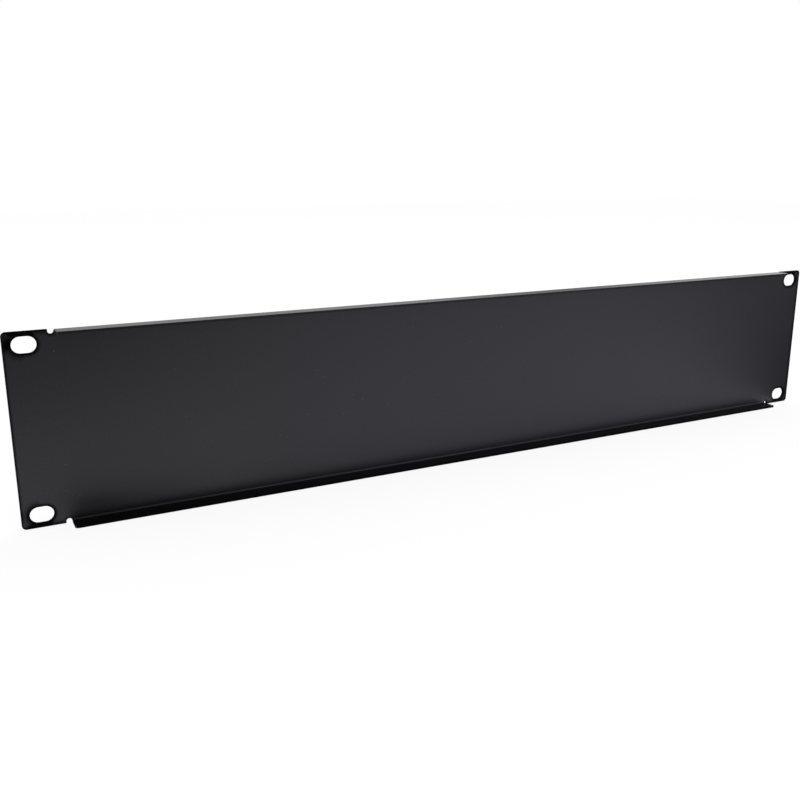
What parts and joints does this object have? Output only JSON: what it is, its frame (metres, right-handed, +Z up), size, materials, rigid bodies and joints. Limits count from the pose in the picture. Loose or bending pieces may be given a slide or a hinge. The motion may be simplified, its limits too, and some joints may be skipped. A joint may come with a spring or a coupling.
{
  "type": "rack blanking panel",
  "caption": "Folded sheet-steel panel that closes unused space in a 19-inch equipment rack, with flanged long edges, U-shaped bend reliefs and round-ended screw slots in its ears.",
  "frame": {"origin": "centre of the four screw slots, on the rear face of the ears, which seats on the rack's rails", "axes": "+X across the panel, +Z up as it stands in the rack, +Y out of the rear face towards the rack's inside, so the smooth front faces -Y"},
  "size_m": [0.4826, 0.01, 0.0882],
  "materials": {
    "black_powder_coat": "semi-matte black powder coat with a fine texture"
  },
  "bodies": {
    "root": {"blanking_panel": "black_powder_coat"}
  },
  "joints": []
}
